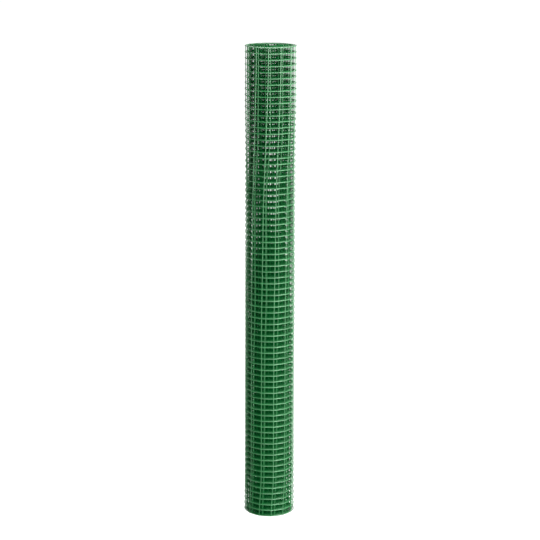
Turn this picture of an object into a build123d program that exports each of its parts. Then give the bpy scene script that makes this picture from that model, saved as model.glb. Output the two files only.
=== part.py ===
import os

from build123d import *

# A roll of green plastic-coated welded wire mesh, standing on its end.
# One sheet is wound on itself round an open bore. The wound sheet is one wall
# that runs outwards as a spiral, and between its turns the roll is filled, up
# to one opening of the mesh from each end, so that the turns show there.
# The spiral is made of half turns, centred by turns on either side of the axis.
# The origin is on the axis, on the floor. +Z is up the roll. Millimetres.

# The mesh sheet
wire_diameter = 1.6  # steel wire and its plastic coat
weld_set_down = 0.5  # how far two crossing wires sink into each other
line_wire_pitch = 12.7  # from one line wire to the next, up the roll
openings_up = 80  # openings from the lower edge wire to the upper one
edge_wire_bevel = 0.4  # the round of the edge wires, at both ends of the roll

# The winding
bore_diameter = 27.0
winding_gap = 0.05  # slack between a turn and the next
turn_count = 14
free_edge_angle = 121.3  # where the outer turn ends, in degrees from +X

# What follows from them
cross_wire_depth = wire_diameter - weld_set_down  # cross wires lie inside the line wires
sheet_thickness = wire_diameter + cross_wire_depth
turn_pitch = sheet_thickness + winding_gap
roll_height = openings_up * line_wire_pitch + wire_diameter
body_height = roll_height - 2 * line_wire_pitch
bore_radius = bore_diameter / 2
centre_shift = turn_pitch / 4
half_turn_growth = turn_pitch / 2
first_radius = bore_radius + cross_wire_depth + wire_diameter / 2 + centre_shift
half_turn_count = 2 * turn_count


def half_turn(number, outwards):
    # One half turn of the sheet's middle line, moved outwards, wound clockwise seen from above
    side = -1 if number % 2 == 0 else 1
    radius = first_radius + number * half_turn_growth + outwards
    start_angle = 0 if side < 0 else 180
    return CenterArc((side * centre_shift, 0), radius, start_angle, -180)


def wound_sheet_face():
    # The sheet's section across the roll: a strip as wide as the edge wire
    outer = [half_turn(number, wire_diameter / 2) for number in range(half_turn_count)]
    inner = [half_turn(number, -wire_diameter / 2) for number in range(half_turn_count)]
    inner_edge = Line(inner[0] @ 0, outer[0] @ 0)
    free_edge = Line(outer[-1] @ 1, inner[-1] @ 1)
    return make_face(Wire([inner_edge, *outer, free_edge, *inner]))


def filled_face():
    # What the last turn goes round, with the step that its free edge makes, and the bore
    last_turn = [half_turn(half_turn_count + back, wire_diameter / 2) for back in (-2, -1)]
    step = Line(last_turn[1] @ 1, last_turn[0] @ 0)
    return make_face(Wire([*last_turn, step])) - Circle(bore_radius)


def edge_wires(sheet):
    # The sheet's long edges, at the two ends of the roll
    ends = sheet.faces().filter_by(Axis.Z)
    return [edge for face in ends for edge in face.edges()]


def mesh_roll():
    sheet = extrude(wound_sheet_face(), roll_height)
    sheet = chamfer(edge_wires(sheet), edge_wire_bevel)
    body = extrude(filled_face(), body_height)
    roll = sheet + Pos(0, 0, line_wire_pitch) * body
    return Rot(0, 0, free_edge_angle) * roll


if __name__ == "__main__":
    os.makedirs("parts", exist_ok=True)
    export_step(mesh_roll(), "parts/mesh_roll.step")
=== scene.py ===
import math

import bpy
import numpy as np
from mathutils import Matrix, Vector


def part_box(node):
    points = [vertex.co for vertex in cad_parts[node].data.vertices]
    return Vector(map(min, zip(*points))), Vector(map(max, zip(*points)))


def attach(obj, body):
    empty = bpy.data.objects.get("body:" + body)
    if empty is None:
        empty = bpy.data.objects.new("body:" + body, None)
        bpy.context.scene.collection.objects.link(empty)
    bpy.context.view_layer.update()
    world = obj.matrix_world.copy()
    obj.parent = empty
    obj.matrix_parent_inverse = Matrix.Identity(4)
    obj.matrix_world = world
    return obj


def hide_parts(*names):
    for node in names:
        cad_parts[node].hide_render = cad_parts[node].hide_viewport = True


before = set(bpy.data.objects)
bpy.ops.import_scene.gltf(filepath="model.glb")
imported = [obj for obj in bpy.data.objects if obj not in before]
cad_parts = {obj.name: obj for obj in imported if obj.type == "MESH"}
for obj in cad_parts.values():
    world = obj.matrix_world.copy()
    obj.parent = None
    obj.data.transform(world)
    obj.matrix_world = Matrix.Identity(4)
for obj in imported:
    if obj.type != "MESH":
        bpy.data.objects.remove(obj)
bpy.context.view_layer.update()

# the roll as it comes in model.glb: it stands on the floor, axis on Z
rollLow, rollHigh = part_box("mesh_roll")
rollHeight = rollHigh[2] - rollLow[2]

# the mesh sheet, laid out flat before it is wound up (metres)
sheet = {
    "wire": 0.0016,          # coated wire, across
    "setDown": 0.0005,       # how far the wires sink into each other at a weld
    "cellLength": 0.0265,    # along the sheet, from cross wire to cross wire
    "cellsUp": 80,
    "cellsAlong": 113,
    "edgeStub": 0.004,       # line wires past the last cross wire
    "core": 0.0012,          # the steel that shows where a line wire was cut
    "weld": 0.00105,         # bead of the coat round a weld
    "kink": 0.16,            # how sharply a line wire bends at a cross wire
    "nearEnd": 0.1,          # share of a short length that counts as its end
    "wallCorners": 4,        # a face with more corners closes the end of a wire
    "mergeWithin": 0.00001,
    "smoothUnder": 50.0,     # degrees
}
sheet["cellHeight"] = (rollHeight - sheet["wire"]) / sheet["cellsUp"]
sheet["half"] = (sheet["wire"] - sheet["setDown"]) / 2     # from mid sheet to mid wire

# turns from the outside in: the ones that show are rounder and have their weld beads
turnGroups = {
    "outerTurns": {"cells": 26, "lineSides": 8, "crossSides": 8, "bends": 4, "beads": True},
    "middleTurns": {"cells": 41, "lineSides": 6, "crossSides": 6, "bends": 4, "beads": False},
    "innerTurns": {"cells": 46, "lineSides": 5, "crossSides": 6, "bends": 4, "beads": False},
}


def freshStart():
    if bpy.context.object and bpy.context.object.mode != "OBJECT":
        bpy.ops.object.mode_set(mode="OBJECT")
    bpy.ops.object.select_all(action="DESELECT")


def applyArray(piece, step, count):
    array = piece.modifiers.new("array", "ARRAY")
    array.use_relative_offset = False
    array.use_constant_offset = True
    array.constant_offset_displace = step
    array.count = count
    array.use_merge_vertices = True
    array.merge_threshold = sheet["mergeWithin"]
    bpy.ops.object.modifier_apply(modifier=array.name)


def capEnds(inset):
    # close the open ends of the wires
    bpy.ops.object.mode_set(mode="EDIT")
    bpy.ops.mesh.select_all(action="DESELECT")
    bpy.ops.mesh.select_non_manifold(extend=False)
    bpy.ops.mesh.fill_holes(sides=0)
    if inset > 0:
        bpy.ops.mesh.select_all(action="DESELECT")
        bpy.ops.mesh.select_mode(type="FACE")
        bpy.ops.mesh.select_face_by_sides(number=sheet["wallCorners"], type="GREATER")
        bpy.ops.mesh.inset(thickness=inset, use_individual=True)
        bpy.ops.mesh.select_mode(type="VERT")
    bpy.ops.object.mode_set(mode="OBJECT")


def readPoints(piece):
    places = np.empty(len(piece.data.vertices) * 3)
    piece.data.vertices.foreach_get("co", places)
    return places.reshape(-1, 3)


def writePoints(piece, places):
    piece.data.vertices.foreach_set("co", np.ascontiguousarray(places).ravel())
    piece.data.update()


def keepValues(piece, name, domain, values):
    kept = piece.data.attributes.new(name, "FLOAT", domain)
    kept.data.foreach_set("value", values.astype(np.float32))


def markCutEnds(wires):
    # the bare steel in the middle of each cut end
    corners = np.empty(len(wires.data.polygons), dtype=np.int32)
    wires.data.polygons.foreach_get("loop_total", corners)
    keepValues(wires, "core", "FACE", corners > sheet["wallCorners"])


def flatLineWires(firstCell, cells, sides, bends, stubStart, stubEnd):
    # one short length of wire, repeated along the sheet, then up it
    freshStart()
    shortLength = sheet["cellLength"] / bends
    startX = firstCell * sheet["cellLength"]
    endX = startX + cells * sheet["cellLength"]
    bpy.ops.mesh.primitive_cylinder_add(
        vertices=sides, radius=sheet["wire"] / 2, depth=shortLength, end_fill_type="NOTHING",
        location=(startX + shortLength / 2, sheet["half"], sheet["wire"] / 2), rotation=(0, math.pi / 2, 0))
    wires = bpy.context.object
    bpy.ops.object.transform_apply(location=True, rotation=True, scale=True)
    applyArray(wires, (shortLength, 0, 0), bends * cells)
    capEnds((sheet["wire"] - sheet["core"]) / 2)
    places = readPoints(wires)
    atStart = places[:, 0] < startX + shortLength * sheet["nearEnd"]
    atEnd = places[:, 0] > endX - shortLength * sheet["nearEnd"]
    # the bends gather at the cross wires
    share = places[:, 0] / sheet["cellLength"]
    places[:, 0] -= sheet["kink"] * np.sin(2 * math.pi * share) * sheet["cellLength"]
    places[atStart, 0] = startX - stubStart
    places[atEnd, 0] = endX + stubEnd
    writePoints(wires, places)
    applyArray(wires, (0, 0, sheet["cellHeight"]), sheet["cellsUp"] + 1)
    markCutEnds(wires)
    return wires


def flatCrossWires(firstCell, cells, sides):
    # two cells' length of wire, repeated up the sheet, then along it
    freshStart()
    startX = firstCell * sheet["cellLength"]
    bpy.ops.mesh.primitive_cylinder_add(
        vertices=sides, radius=sheet["wire"] / 2, depth=sheet["cellHeight"] * 2, end_fill_type="NOTHING",
        location=(startX, -sheet["half"], sheet["wire"] / 2 + sheet["cellHeight"]))
    wires = bpy.context.object
    bpy.ops.object.transform_apply(location=True, rotation=True, scale=True)
    applyArray(wires, (0, 0, sheet["cellHeight"] * 2), sheet["cellsUp"] // 2)
    capEnds(0)
    # flush with the outer sides of the edge wires
    places = readPoints(wires)
    places[:, 2] = (places[:, 2] - sheet["wire"] / 2) * rollHeight / (rollHeight - sheet["wire"])
    writePoints(wires, places)
    applyArray(wires, (sheet["cellLength"], 0, 0), cells)
    return wires


def flatWelds(firstCell, cells):
    # a bead of the coat round each weld
    freshStart()
    bpy.ops.mesh.primitive_ico_sphere_add(
        subdivisions=1, radius=sheet["weld"],
        location=(firstCell * sheet["cellLength"], 0, sheet["wire"] / 2))
    welds = bpy.context.object
    bpy.ops.object.transform_apply(location=True, rotation=True, scale=True)
    applyArray(welds, (sheet["cellLength"], 0, 0), cells)
    applyArray(welds, (0, 0, sheet["cellHeight"]), sheet["cellsUp"] + 1)
    places = readPoints(welds)
    places[:, 2] = np.clip(places[:, 2], 0, rollHeight)     # flush at both edges
    writePoints(welds, places)
    return welds


# how the sheet is wound up: knots go by share of the roll's height, zones by degrees from the front
winding = {
    "freeRadius": 0.0532,    # mid sheet, at the free edge
    "pitch": 0.00275,        # from one turn to the next
    "freeEdge": math.radians(121.3),
    "outerEnds": (0.62, 1.12),     # turns over which the outer one goes over to the rest
    # degrees that the columns are off a plain spiral
    "twist": {0.0: -10.6, 0.1: -7.1, 0.2: -6.2, 0.33: -6.3, 0.5: -1.65},
    "outerTwist": {0.0: -9.4, 0.08: -7.8, 0.2: -9.0, 0.33: -8.9, 0.47: -12.9, 0.62: -11.0, 0.98: 0.0},
    "innerTwist": {0.45: -2.0, 0.6: -3.8, 0.85: -8.0},
    "secondTwist": {0.66: 0.0, 0.84: 14.0},
    "slipped": (0.0, 14.0, 14.0, -7.0),      # from the second turn inwards
    "slipsOver": (0.8, 1.03),      # from turn to turn, at the back
    # where the roll is wider or tighter than the spiral
    "outerLoose": {0.0: 0.0001, 0.2: 0.0, 0.8: 0.0, 0.93: 0.0007},
    "squeezed": {0.0: 0.0012, 0.25: 0.0008, 0.38: 0.0005, 0.5: 0.0005, 0.68: 0.0001, 0.78: -0.0003,
                 0.87: 0.0003, 0.95: -0.0003},
    "outOfRound": 0.0003,
    "lobes": ((2, 1.0, 1.3, 2.0), (3, 0.6, -0.7, 3.0)),     # how many, strength, start, lean
    # line wires are flattened between the cross wires, but not so at the sides of the outer turn
    "flat": 0.6,             # 0 is round, 1 is straight
    "mostSag": 0.0015,
    "sideRound": (0.85, 1.9),      # left and right: 1 is round, and more bows out
    "roundZone": (60, 80, 100, 120),
    # inner turns stand a little higher, and not quite evenly
    "coned": 0.00008,        # for each turn
    "stepped": 0.0008,
    "stepsIn": (0.6, 3.0),   # turns over which that begins
    # rows ride up round the sides and the back, and inside on the left they hang lower
    "sideRise": {0.0: 0.0, 0.12: 0.006, 0.5: 0.0062, 0.68: 0.0035, 0.8: 0.0016, 0.92: 0.0},
    "sideZone": (78, 115, 120, 150),
    "backRise": {0.0: 0.0, 0.12: 0.006, 0.45: 0.006, 0.58: 0.0012, 0.72: 0.0008, 0.85: -0.0012,
                 0.95: -0.0012, 1.0: 0.0},
    "backZone": (120, 150),
    "leftHang": {0.45: 0.0, 0.58: -0.0032, 0.95: -0.0032, 1.0: 0.0},
    "leftZone": (48, 68, 112, 132),
    # wires aren't quite in place
    "wander": 0.0003,
    "rowWaves": {"share": 0.5, "perRow": 0.61, "perMetre": 2.0, "longest": 1.1, "count": 4},
    "columnWaves": {"perColumn": 0.37, "longest": 0.9, "count": 4, "jitter": 0.6, "jitterStep": 12.9898},
    "stepWaves": {"longest": 3.1, "count": 5},
    "waveStep": 0.73,        # each wave is faster than the one before by this share of the first
    # painted shade: the coat is drawn darker and duller inside the roll, turn by turn
    "shadeRate": 1.2,
    "shadeFrom": 0.9,
    "tones": 400,            # more than there are wires
    "seeds": {"columns": 11, "rows": 12, "steps": 13, "tones": 14},
}


def smoothStep(low, high, value):
    share = np.clip((value - low) / (high - low), 0, 1)
    return share * share * (3 - 2 * share)


def inZone(zone, value):
    rises, full, falls, gone = zone
    return smoothStep(rises, full, value) * (1 - smoothStep(falls, gone, value))


def easedBetween(knots, value):
    # from knot to knot without a corner
    lows = sorted(knots)
    total = knots[lows[0]] + 0 * value
    for low, high in zip(lows, lows[1:]):
        total = total + (knots[high] - knots[low]) * smoothStep(low, high, value)
    return total


def slowWaves(seed, across, longest, count):
    # a smooth wander between -1 and 1 that is the same every run
    phases = np.random.RandomState(winding["seeds"][seed]).uniform(0, 2 * math.pi, count)
    total = 0
    for number, phase in enumerate(phases):
        faster = 1 + winding["waveStep"] * number
        total = total + np.sin(2 * math.pi * across / longest * faster + phase) / (1 + number)
    return total / sum(1 / (1 + number) for number in range(count))


def rowWander(row, along):
    waves = winding["rowWaves"]
    across = row * waves["perRow"] + along * waves["perMetre"]
    return winding["wander"] * waves["share"] * slowWaves("rows", across, waves["longest"], waves["count"])


def columnWander(column, height):
    waves = winding["columnWaves"]
    across = column * waves["perColumn"] + height
    jitter = waves["jitter"] * np.sin(column * waves["jitterStep"])
    return winding["wander"] * (slowWaves("columns", across, waves["longest"], waves["count"]) + jitter)


def slipShare(number, turn):
    # how far the slip from one turn to the next is done
    begins, done = winding["slipsOver"]
    return smoothStep(number + begins, number + done, turn)


def twistAt(turn, outer, height):
    twist = easedBetween(winding["twist"], height) + outer * easedBetween(winding["outerTwist"], height)
    twist = twist + (1 - outer) * easedBetween(winding["innerTwist"], height)
    second = slipShare(0, turn) - slipShare(1, turn)
    twist = twist + second * easedBetween(winding["secondTwist"], height)
    slipBefore = 0
    for number, slip in enumerate(winding["slipped"]):
        twist = twist + (slip - slipBefore) * slipShare(number, turn)
        slipBefore = slip
    return np.radians(twist)


def sagAt(along, radius, outer, fromFront, onLeft):
    # how far a line wire is drawn in between two cross wires
    cell = along / sheet["cellLength"]
    across = (cell - np.floor(cell) - 0.5) * 2
    halfAngle = sheet["cellLength"] / 2 / radius
    sag = np.minimum(radius * (1 - np.cos(halfAngle)) * winding["flat"], winding["mostSag"])
    rounder = np.where(onLeft, *winding["sideRound"]) * outer * inZone(winding["roundZone"], fromFront)
    return sag * (1 - rounder) * (1 - across ** 2)


def riseAt(turn, outer, height, fromFront, onLeft):
    begins, done = winding["stepsIn"]
    waves = slowWaves("steps", turn, winding["stepWaves"]["longest"], winding["stepWaves"]["count"])
    rise = winding["coned"] * np.maximum(turn - begins, 0)
    rise = rise + smoothStep(begins, done, turn) * winding["stepped"] * (1 + waves) / 2
    rise = rise + inZone(winding["sideZone"], fromFront) * easedBetween(winding["sideRise"], height)
    rise = rise + smoothStep(*winding["backZone"], fromFront) * easedBetween(winding["backRise"], height)
    hang = inZone(winding["leftZone"], fromFront) * easedBetween(winding["leftHang"], height)
    return rise + (1 - outer) * onLeft * hang


def windUp(piece, isLineWire):
    # x runs along the sheet from its free edge inwards, y is its outer side, z is up
    places = readPoints(piece)
    along, out, up = places[:, 0].copy(), places[:, 1], places[:, 2].copy()
    height = up / rollHeight
    row = np.round((up - sheet["wire"] / 2) / sheet["cellHeight"])
    column = np.round(along / sheet["cellLength"])

    # no two wires have quite the same green
    tones = np.random.RandomState(winding["seeds"]["tones"]).uniform(0, 1, winding["tones"])
    wire = row if isLineWire else column + sheet["cellsUp"] + 2
    keepValues(piece, "wireTone", "POINT", tones[wire.astype(int)])

    if isLineWire:
        up = up + rowWander(row, along)
    else:
        along = along + columnWander(column, height)

    # the spiral
    pitch = winding["pitch"]
    radius = np.sqrt(winding["freeRadius"] ** 2 - pitch * along / math.pi)
    turn = (winding["freeRadius"] - radius) / pitch
    # painted shade: how far into the roll each point lies, which darkens and dulls its coat
    inside = np.maximum(turn - winding["shadeFrom"], 0)
    keepValues(piece, "depth", "POINT", 1 - np.exp(-winding["shadeRate"] * inside))

    # where the roll leaves that spiral
    outer = 1 - smoothStep(*winding["outerEnds"], turn)
    angle = winding["freeEdge"] + 2 * math.pi * turn + twistAt(turn, outer, height)
    fromFront = np.abs(np.degrees(np.arctan2(np.cos(angle), -np.sin(angle))))
    onLeft = np.cos(angle) < 0
    radius = radius + outer * easedBetween(winding["outerLoose"], height)
    radius = radius + easedBetween(winding["squeezed"], height) * radius / winding["freeRadius"]
    if isLineWire:
        radius = radius - sagAt(along, radius, outer, fromFront, onLeft)
    for count, strength, start, lean in winding["lobes"]:
        radius = radius + winding["outOfRound"] * strength * np.cos(count * angle + start + lean * height)
    radius = radius + out
    up = up + riseAt(turn, outer, height, fromFront, onLeft)
    writePoints(piece, np.stack([radius * np.cos(angle), radius * np.sin(angle), up], axis=1))


def joinInto(name, parts):
    freshStart()
    for part in parts:
        part.select_set(True)
    bpy.context.view_layer.objects.active = parts[0]
    bpy.ops.object.join()
    piece = bpy.context.object
    piece.name = name
    piece.data.name = name
    return piece


def turnOutAndSmooth(piece):
    freshStart()
    piece.select_set(True)
    bpy.context.view_layer.objects.active = piece
    bpy.ops.object.mode_set(mode="EDIT")
    bpy.ops.mesh.select_all(action="SELECT")
    bpy.ops.mesh.normals_make_consistent(inside=False)
    bpy.ops.object.mode_set(mode="OBJECT")
    bpy.ops.object.shade_smooth_by_angle(angle=math.radians(sheet["smoothUnder"]))


# the plastic coat, the steel at its cut ends, and painted shade for the turns inside the roll
coat = {
    "deepGreen": (0.0015, 0.080, 0.016, 1),
    "freshGreen": (0.003, 0.118, 0.0245, 1),
    "shadedGreen": (0.0008, 0.052, 0.0102, 1),     # painted shade: darker green for the turns inside the roll
    "byWire": 0.55,          # how far the green changes from wire to wire
    "byPatch": 0.45,         # and from patch to patch
    "steel": (0.45, 0.46, 0.47, 1),
    "shine": 0.85,
    # painted shade: the coat inside the roll hardly shines
    "shadedShine": 0.04,
    "roughness": (0.33, 0.45),
    "patches": {"scale": 42.0, "detail": 3.0},    # noise, on metres
    "patchRange": (0.35, 0.65),
    "smears": {"scale": 260.0, "detail": 2.0},
    "smearRange": (0.3, 0.7),
    "grain": {"scale": 1100.0, "detail": 2.0},
    "grainDepth": 0.00006,
    "grainStrength": 0.35,
}


def addNoise(nodes, links, place, setting):
    noise = nodes.new("ShaderNodeTexNoise")
    noise.inputs["Scale"].default_value = setting["scale"]
    noise.inputs["Detail"].default_value = setting["detail"]
    links.new(place, noise.inputs["Vector"])
    return noise.outputs["Fac"]


def readAttribute(nodes, name):
    attribute = nodes.new("ShaderNodeAttribute")
    attribute.attribute_name = name
    return attribute.outputs["Fac"]


def mapRange(nodes, links, value, fromRange, toRange):
    ranges = nodes.new("ShaderNodeMapRange")
    for socket, limit in zip(("From Min", "From Max", "To Min", "To Max"), (*fromRange, *toRange)):
        ranges.inputs[socket].default_value = limit
    links.new(value, ranges.inputs["Value"])
    return ranges.outputs["Result"]


def addMath(nodes, links, operation, *values):
    sums = nodes.new("ShaderNodeMath")
    sums.operation = operation
    for socket, value in zip(sums.inputs, values):
        if isinstance(value, float):
            socket.default_value = value
        else:
            links.new(value, socket)
    return sums.outputs["Value"]


def mixColours(nodes, links, share, first, second):
    mix = nodes.new("ShaderNodeMix")
    mix.data_type = "RGBA"
    links.new(share, mix.inputs["Factor"])
    for socket, colour in ((mix.inputs["A"], first), (mix.inputs["B"], second)):
        if isinstance(colour, tuple):
            socket.default_value = colour
        else:
            links.new(colour, socket)
    return mix.outputs["Result"]


def makeCoat():
    material = bpy.data.materials.new("greenCoat")
    material.use_nodes = True
    nodes, links = material.node_tree.nodes, material.node_tree.links
    shader = nodes["Principled BSDF"]
    place = nodes.new("ShaderNodeTexCoord").outputs["Object"]
    depth = readAttribute(nodes, "depth")
    core = readAttribute(nodes, "core")

    # wire by wire and patch by patch from one green to the other
    patches = addNoise(nodes, links, place, coat["patches"])
    patches = mapRange(nodes, links, patches, coat["patchRange"], (0, coat["byPatch"]))
    blend = addMath(nodes, links, "MULTIPLY_ADD", readAttribute(nodes, "wireTone"), coat["byWire"], patches)
    green = mixColours(nodes, links, blend, coat["deepGreen"], coat["freshGreen"])
    # painted shade: the green darkens with depth into the roll
    green = mixColours(nodes, links, depth, green, coat["shadedGreen"])
    links.new(mixColours(nodes, links, core, green, coat["steel"]), shader.inputs["Base Color"])
    links.new(core, shader.inputs["Metallic"])

    # painted shade: less shine on the inner turns, deep in the roll
    shine = mapRange(nodes, links, depth, (0, 1), (coat["shine"], coat["shadedShine"]))
    links.new(shine, shader.inputs["Specular IOR Level"])

    # smears in the gloss
    smears = addNoise(nodes, links, place, coat["smears"])
    smears = mapRange(nodes, links, smears, coat["smearRange"], coat["roughness"])
    links.new(smears, shader.inputs["Roughness"])

    # the faint orange peel of a dipped coat
    grain = nodes.new("ShaderNodeBump")
    grain.inputs["Strength"].default_value = coat["grainStrength"]
    grain.inputs["Distance"].default_value = coat["grainDepth"]
    links.new(addNoise(nodes, links, place, coat["grain"]), grain.inputs["Height"])
    links.new(grain.outputs["Normal"], shader.inputs["Normal"])
    return material


greenCoat = makeCoat()
print("mixed", greenCoat.name)

firstCell = 0
for name, group in turnGroups.items():
    lastGroup = firstCell + group["cells"] == sheet["cellsAlong"]
    lineWires = flatLineWires(firstCell, group["cells"], group["lineSides"], group["bends"],
                              sheet["edgeStub"] if firstCell == 0 else 0,
                              sheet["edgeStub"] if lastGroup else 0)
    windUp(lineWires, True)
    crossWires = flatCrossWires(firstCell, group["cells"] + (1 if lastGroup else 0), group["crossSides"])
    windUp(crossWires, False)
    parts = [lineWires, crossWires]
    if group["beads"]:
        beads = flatWelds(firstCell, group["cells"])
        windUp(beads, False)
        parts.append(beads)
    piece = joinInto(name, parts)
    turnOutAndSmooth(piece)
    piece.data.materials.append(greenCoat)
    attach(piece, "root")
    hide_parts("mesh_roll")
    triangles = sum(len(face.vertices) - 2 for face in piece.data.polygons)
    print("wound", name, "cells", firstCell, "to", firstCell + group["cells"], "triangles", triangles)
    firstCell += group["cells"]


# floor and light; sides are degrees to the right of the camera
studio = {
    "floorSize": 80.0,
    "floorColour": (0.25, 0.25, 0.25, 1),
    "floorRoughness": 0.8,
    "floorShine": 0.1,
    "floorGlow": 0.92,
    "footprint": (0.0494, 0.0546),     # painted shade: the floor glow begins here, from the axis, so under the roll it stays dark
    "glowSide": 35.0,
    "glowFades": (-0.3, 0.6),
    "glowBehind": 0.05,
    "white": (1, 1, 1, 1),
    "sunPower": 1.5,
    "sunAngle": 50.0,
    "sunHeight": 70.0,
    "sunSide": 8.0,
    "boxFrom": 2.6,          # softboxes stand this far from mid roll
    "ambient": 0.02,
}

# softboxes: side, degrees up, width, height, watts
softboxes = {
    "front": (0, 10, 1.8, 1.2, 65),
    "keyRight": (45, 12, 1.8, 1.6, 140),
    "rimRight": (85, 14, 1.8, 1.6, 65),
    "backRight": (125, 8, 1.8, 1.2, 20),
    "highRight": (60, 55, 1.8, 1.2, 72),
    "highBehind": (175, 58, 1.8, 1.6, 110),
    "highLeft": (-115, 58, 1.8, 1.6, 45),
}


def makeFloor():
    freshStart()
    bpy.ops.mesh.primitive_plane_add(size=studio["floorSize"], location=(0, 0, 0))
    floor = bpy.context.object
    floor.name = "floor"
    material = bpy.data.materials.new("paleFloor")
    material.use_nodes = True
    nodes, links = material.node_tree.nodes, material.node_tree.links
    shader = nodes["Principled BSDF"]
    shader.inputs["Base Color"].default_value = studio["floorColour"]
    shader.inputs["Roughness"].default_value = studio["floorRoughness"]
    shader.inputs["Specular IOR Level"].default_value = studio["floorShine"]
    shader.inputs["Emission Color"].default_value = studio["white"]

    # painted shade: no glow from under the roll, so the floor there stays dark; from behind it and its left
    # hardly any glow but for the camera
    place = nodes.new("ShaderNodeTexCoord").outputs["Object"]
    fromAxis = nodes.new("ShaderNodeVectorMath")
    fromAxis.operation = "LENGTH"
    links.new(place, fromAxis.inputs[0])
    outside = mapRange(nodes, links, fromAxis.outputs["Value"], studio["footprint"], (0, studio["floorGlow"]))
    side = math.radians(studio["glowSide"])
    across = nodes.new("ShaderNodeVectorMath")
    across.operation = "DOT_PRODUCT"
    across.inputs[1].default_value = (math.sin(side), -math.cos(side), 0)
    links.new(place, across.inputs[0])
    inFront = mapRange(nodes, links, across.outputs["Value"], studio["glowFades"], (studio["glowBehind"], 1))
    forCamera = nodes.new("ShaderNodeLightPath").outputs["Is Camera Ray"]
    seen = addMath(nodes, links, "MAXIMUM", inFront, forCamera)
    links.new(addMath(nodes, links, "MULTIPLY", outside, seen), shader.inputs["Emission Strength"])
    floor.data.materials.append(material)


def addSoftbox(name, side, up, width, height, power):
    light = bpy.data.lights.new(name, "AREA")
    light.shape = "RECTANGLE"
    light.size = width
    light.size_y = height
    light.energy = power
    lamp = bpy.data.objects.new(name, light)
    bpy.context.collection.objects.link(lamp)
    aimed = Matrix.Rotation(math.radians(side), 4, "Z") @ Matrix.Rotation(math.radians(90 - up), 4, "X")
    midRoll = Matrix.Translation((0, 0, rollHeight / 2))
    lamp.matrix_world = midRoll @ aimed @ Matrix.Translation((0, 0, studio["boxFrom"]))


def addSun():
    light = bpy.data.lights.new("softSun", "SUN")
    light.energy = studio["sunPower"]
    light.angle = math.radians(studio["sunAngle"])
    lamp = bpy.data.objects.new("softSun", light)
    bpy.context.collection.objects.link(lamp)
    lamp.rotation_euler = (math.radians(90 - studio["sunHeight"]), 0, math.radians(studio["sunSide"]))


def addBackdrop():
    # white to the camera, and only a little light from it
    world = bpy.data.worlds.new("studioBackdrop")
    bpy.context.scene.world = world
    world.use_nodes = True
    nodes, links = world.node_tree.nodes, world.node_tree.links
    nodes["Background"].inputs["Color"].default_value = studio["white"]
    forCamera = nodes.new("ShaderNodeLightPath").outputs["Is Camera Ray"]
    strength = mapRange(nodes, links, forCamera, (0, 1), (studio["ambient"], 1))
    links.new(strength, nodes["Background"].inputs["Strength"])


makeFloor()
addSun()
for name, setting in softboxes.items():
    addSoftbox(name, *setting)
addBackdrop()
print("lit by a sun and", len(softboxes), "softboxes")

# camera, fitted to the rows of wire in the photo
view = {
    "place": (-0.0002, -3.402, 1.350),
    "pitch": math.radians(13.4),
    "roll": math.radians(0.22),
    "lens": 109.2,
    "sensor": 36,
}
camera = bpy.data.cameras.new("camera")
camera.sensor_width = view["sensor"]
camera.lens = view["lens"]
cameraObject = bpy.data.objects.new("camera", camera)
bpy.context.collection.objects.link(cameraObject)
cameraObject.location = view["place"]
turnedDown = Matrix.Rotation(math.pi / 2 - view["pitch"], 3, "X")
cameraObject.rotation_euler = (turnedDown @ Matrix.Rotation(view["roll"], 3, "Z")).to_euler()
bpy.context.scene.camera = cameraObject
bpy.context.scene.view_settings.view_transform = "Standard"
print("camera at", view["place"])
